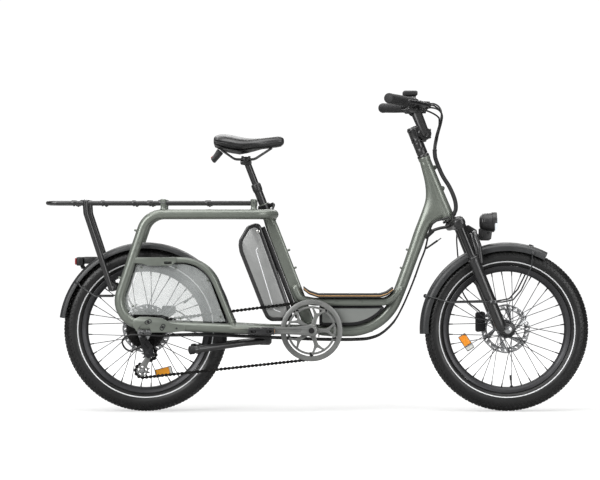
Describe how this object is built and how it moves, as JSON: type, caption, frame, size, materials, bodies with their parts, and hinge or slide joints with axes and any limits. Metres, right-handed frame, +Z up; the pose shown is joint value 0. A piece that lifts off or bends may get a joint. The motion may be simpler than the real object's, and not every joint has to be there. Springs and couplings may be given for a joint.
{
  "type": "cargo bicycle",
  "caption": "Compact step-through electric cargo bicycle with a long rear rack, side loops round the rear wheel, a footboard, sprung fork and folding stand.",
  "frame": {"origin": "on the ground under the middle of the bicycle, at the centre of its bounding box in plan", "axes": "+X forwards, +Y to the rider's left, +Z up; the chain is on the -Y side"},
  "size_m": [1.754, 0.6258, 1.045],
  "materials": {
    "sage_paint": "satin metallic",
    "black_paint": "satin",
    "mudguard_plastic": "satin",
    "case_plastic": "satin",
    "guard_sheet": "hazy",
    "grey_alloy": "satin",
    "black_alloy": "anodised",
    "steel": "brushed",
    "plated_steel": "bright",
    "tyre": "matt",
    "rubber": "matt",
    "plywood": "lacquered edge under a grey grip sheet",
    "saddle_vinyl": "grained"
  },
  "bodies": {
    "frame": {"down_tube": "sage_paint", "seat_tube": "sage_paint", "deck_tubes": "sage_paint", "top_loop": "sage_paint", "rear_frame_right": "sage_paint", "rear_frame_left": "sage_paint", "wheel_guard_right": "guard_sheet", "wheel_guard_left": "guard_sheet", "rear_mudguard": "mudguard_plastic", "rack": "black_paint", "deck_board": "plywood", "controller_case": "case_plastic", "battery_rail": "black_paint", "rear_axle": "black_paint", "rear_caliper": "black_alloy", "stand_bracket": "black_paint", "seat_clamp": "black_paint", "derailleur_body": "black_alloy", "chain": "steel", "rear_hose": "rubber", "cable_sleeve": "rubber"},
    "battery": {"battery_case": "case_plastic"},
    "battery_key": {"battery_lock": "plated_steel"},
    "steerer": {"fork_crown": "black_paint", "stem": "black_paint", "handlebar": "black_paint", "grip_right": "rubber", "grip_left": "rubber", "brake_perch_right": "black_alloy", "brake_perch_left": "black_alloy", "display": "black_alloy"},
    "fork_lower": {"fork_lowers": "black_paint", "front_axle": "steel", "front_mudguard": "mudguard_plastic", "front_caliper": "black_alloy"},
    "lamp": {"headlight": "black_alloy"},
    "front_wheel": {"front_tyre": "tyre", "front_rim": "black_alloy", "front_hub": "black_alloy", "front_rotor": "steel"},
    "rear_wheel": {"rear_tyre": "tyre", "rear_rim": "black_alloy", "rear_hub_motor": "black_alloy", "rear_rotor": "steel"},
    "sprockets": {"cassette": "black_alloy"},
    "crankset": {"chainring": "black_alloy", "crank_arm_right": "grey_alloy", "crank_arm_left": "grey_alloy"},
    "right_pedal": {"pedal_right": "black_alloy"},
    "left_pedal": {"pedal_left": "black_alloy"},
    "cage": {"derailleur_cage": "black_alloy"},
    "upper_pulley": {"guide_pulley": "black_alloy"},
    "lower_pulley": {"tension_pulley": "black_alloy"},
    "right_brake_lever": {"brake_blade_right": "black_alloy"},
    "left_brake_lever": {"brake_blade_left": "black_alloy"},
    "shifter": {"shift_lever": "black_alloy"},
    "stand": {"kickstand_legs": "black_paint"},
    "post": {"seatpost_outer": "black_paint"},
    "seat": {"seatpost_inner": "black_paint", "saddle": "saddle_vinyl"}
  },
  "joints": [
    {"name": "steering", "type": "hinge", "parent": "frame", "child": "steerer", "pos_m": [0.3438, 0, 0.8226], "axis": [-0.3746, 0, 0.9272], "range_deg": [-55, 55], "deforming": ["cable_sleeve"]},
    {"name": "fork_travel", "type": "slide", "parent": "steerer", "child": "fork_lower", "axis": [-0.3746, 0, 0.9272], "range_m": [0, 0.05], "stiffness_N_per_m": 9000, "springref_m": -0.025},
    {"name": "lamp_tilt", "type": "hinge", "parent": "fork_lower", "child": "lamp", "pos_m": [0.505, 0, 0.576], "axis": [0, 1, 0], "range_deg": [-12, 4]},
    {"name": "front_wheel_spin", "type": "hinge", "parent": "fork_lower", "child": "front_wheel", "pos_m": [0.612, 0, 0.265], "axis": [0, 1, 0], "continuous": true},
    {"name": "rear_wheel_spin", "type": "hinge", "parent": "frame", "child": "rear_wheel", "pos_m": [-0.556, 0, 0.265], "axis": [0, 1, 0], "continuous": true},
    {"name": "crank_spin", "type": "hinge", "parent": "frame", "child": "crankset", "pos_m": [-0.02, 0, 0.263], "axis": [0, 1, 0], "continuous": true, "deforming": ["chain"]},
    {"name": "sprocket_spin", "type": "hinge", "parent": "frame", "child": "sprockets", "pos_m": [-0.556, 0, 0.265], "axis": [0, 1, 0], "continuous": true},
    {"name": "right_pedal_spin", "type": "hinge", "parent": "crankset", "child": "right_pedal", "pos_m": [-0.18, 0, 0.263], "axis": [0, 1, 0], "continuous": true},
    {"name": "left_pedal_spin", "type": "hinge", "parent": "crankset", "child": "left_pedal", "pos_m": [0.14, 0, 0.263], "axis": [0, 1, 0], "continuous": true},
    {"name": "cage_swing", "type": "hinge", "parent": "frame", "child": "cage", "pos_m": [-0.542, 0, 0.188], "axis": [0, 1, 0], "range_deg": [-28, 8], "stiffness_Nm_per_rad": 0.6, "deforming": ["chain"]},
    {"name": "upper_pulley_spin", "type": "hinge", "parent": "cage", "child": "upper_pulley", "pos_m": [-0.542, 0, 0.188], "axis": [0, 1, 0], "continuous": true},
    {"name": "lower_pulley_spin", "type": "hinge", "parent": "cage", "child": "lower_pulley", "pos_m": [-0.564, 0, 0.134], "axis": [0, 1, 0], "continuous": true},
    {"name": "right_brake", "type": "hinge", "parent": "steerer", "child": "right_brake_lever", "pos_m": [0.352, -0.158, 0.977], "axis": [0, 0, -1], "range_deg": [0, 10], "stiffness_Nm_per_rad": 0.8},
    {"name": "left_brake", "type": "hinge", "parent": "steerer", "child": "left_brake_lever", "pos_m": [0.352, 0.158, 0.977], "axis": [0, 0, 1], "range_deg": [0, 10], "stiffness_Nm_per_rad": 0.8},
    {"name": "shift", "type": "hinge", "parent": "steerer", "child": "shifter", "pos_m": [0.3, -0.15, 0.97], "axis": [0, 0, 1], "range_deg": [0, 20], "stiffness_Nm_per_rad": 0.3},
    {"name": "stand_fold", "type": "hinge", "parent": "frame", "child": "stand", "pos_m": [-0.1615, 0, 0.229], "axis": [0, -1, 0], "range_deg": [0, 90]},
    {"name": "battery_tilt", "type": "hinge", "parent": "frame", "child": "battery", "pos_m": [-0.118, 0, 0.293], "axis": [0, -1, 0], "range_deg": [0, 15]},
    {"name": "battery_key_turn", "type": "hinge", "parent": "battery", "child": "battery_key", "pos_m": [-0.192, -0.04, 0.582], "axis": [0, 1, 0], "range_deg": [0, 90]},
    {"name": "post_height", "type": "slide", "parent": "frame", "child": "post", "axis": [-0.3584, 0, 0.9336], "range_m": [-0.04, 0.06]},
    {"name": "seat_suspension", "type": "slide", "parent": "post", "child": "seat", "axis": [-0.3584, 0, 0.9336], "range_m": [-0.035, 0], "stiffness_N_per_m": 12000, "springref_m": 0.01}
  ],
  "couplings": [
    {"joint": "sprocket_spin", "follows": "crank_spin", "ratio": 3.8333},
    {"joint": "upper_pulley_spin", "follows": "crank_spin", "ratio": -4.1818},
    {"joint": "lower_pulley_spin", "follows": "crank_spin", "ratio": 4.1818}
  ]
}
